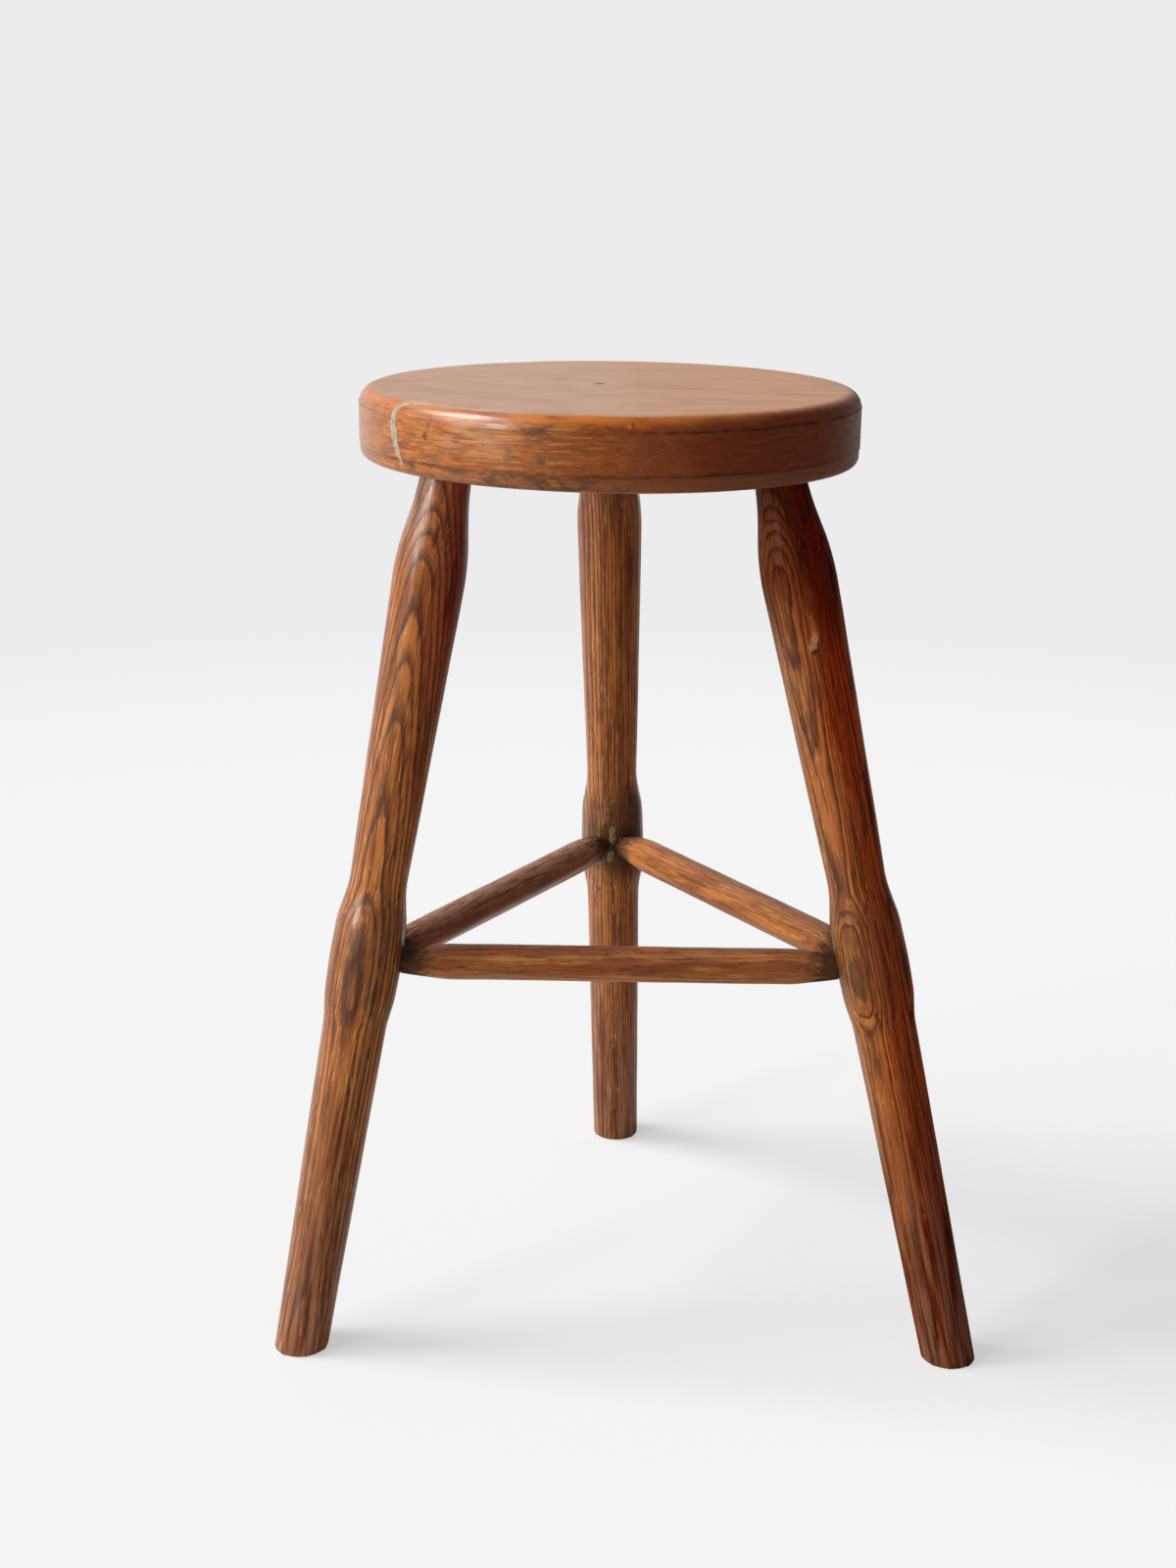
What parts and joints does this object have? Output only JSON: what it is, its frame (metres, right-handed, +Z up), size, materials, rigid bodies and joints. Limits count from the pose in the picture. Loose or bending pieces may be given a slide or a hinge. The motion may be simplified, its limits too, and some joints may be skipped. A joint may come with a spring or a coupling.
{
  "type": "tripod stool",
  "caption": "Turned wooden tripod stool: a thick round seat on splayed legs with a bulb at mid height, tied by a triangle of tapered round stretchers.",
  "frame": {"origin": "on the floor, at the centre of the stool's plan box", "axes": "+Z up, +Y from the front stretcher towards the back leg, +X to the right seen from the front"},
  "size_m": [0.4554, 0.3904, 0.61],
  "materials": {
    "seat_wood": "old varnish, worn and scratched",
    "leg_wood": "dark stained open grain, thin varnish",
    "stretcher_wood": "dark stained, worn where feet rest",
    "filler": "dry chalky putty",
    "glue": "hard amber glue"
  },
  "bodies": {
    "root": {"seat": "seat_wood", "split_filler": "filler", "back_leg": "leg_wood", "left_leg": "leg_wood", "right_leg": "leg_wood", "front_stretcher": "stretcher_wood", "left_stretcher": "stretcher_wood", "right_stretcher": "stretcher_wood", "back_leg_glue": "glue", "left_leg_glue": "glue", "right_leg_glue": "glue", "front_stretcher_left_glue": "glue", "front_stretcher_right_glue": "glue", "left_stretcher_left_glue": "glue", "left_stretcher_back_glue": "glue", "right_stretcher_right_glue": "glue", "right_stretcher_back_glue": "glue"}
  },
  "joints": []
}
